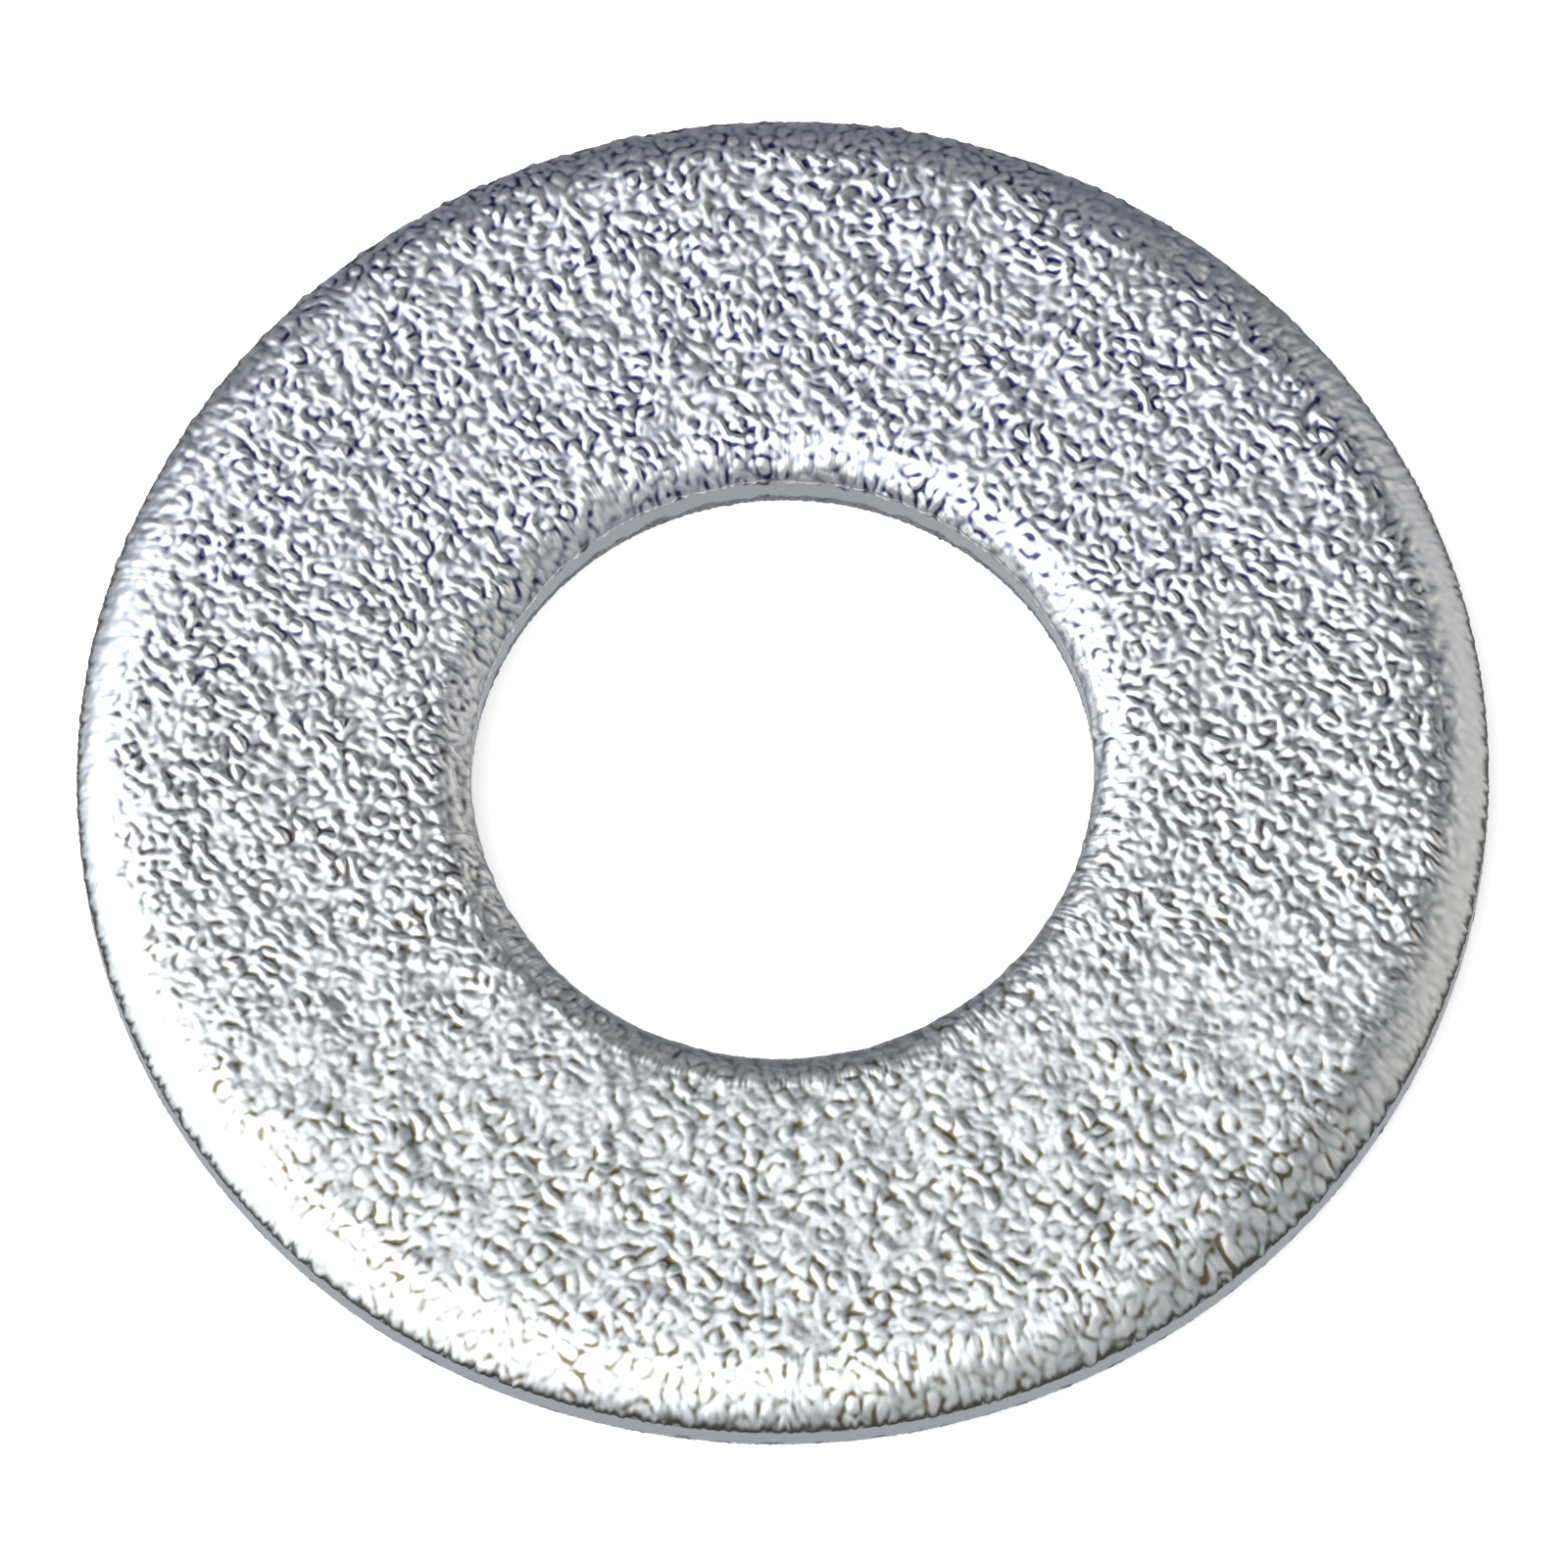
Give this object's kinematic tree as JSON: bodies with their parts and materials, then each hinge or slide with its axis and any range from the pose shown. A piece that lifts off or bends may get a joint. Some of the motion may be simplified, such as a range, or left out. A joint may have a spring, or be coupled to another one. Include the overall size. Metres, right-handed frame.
{
  "type": "flat washer",
  "caption": "Round flat washer: a thin stamped steel ring with a plain central hole and edges rounded over on one face, put under a bolt head or nut to spread its load.",
  "frame": {"origin": "centre of the hole at the flat face on the burr side, which lies at z = 0", "axes": "+Z along the axis of the hole, towards the face whose edges are rounded over; X and Y lie in the face, and the part is round, so they point anywhere"},
  "size_m": [0.0254, 0.0254, 0.0017],
  "materials": {
    "zinc_plated_steel": "bright electroplated zinc over tumbled stamped steel, finely pebbled on the faces and satin on the sheared walls"
  },
  "bodies": {
    "root": {"washer": "zinc_plated_steel"}
  },
  "joints": []
}
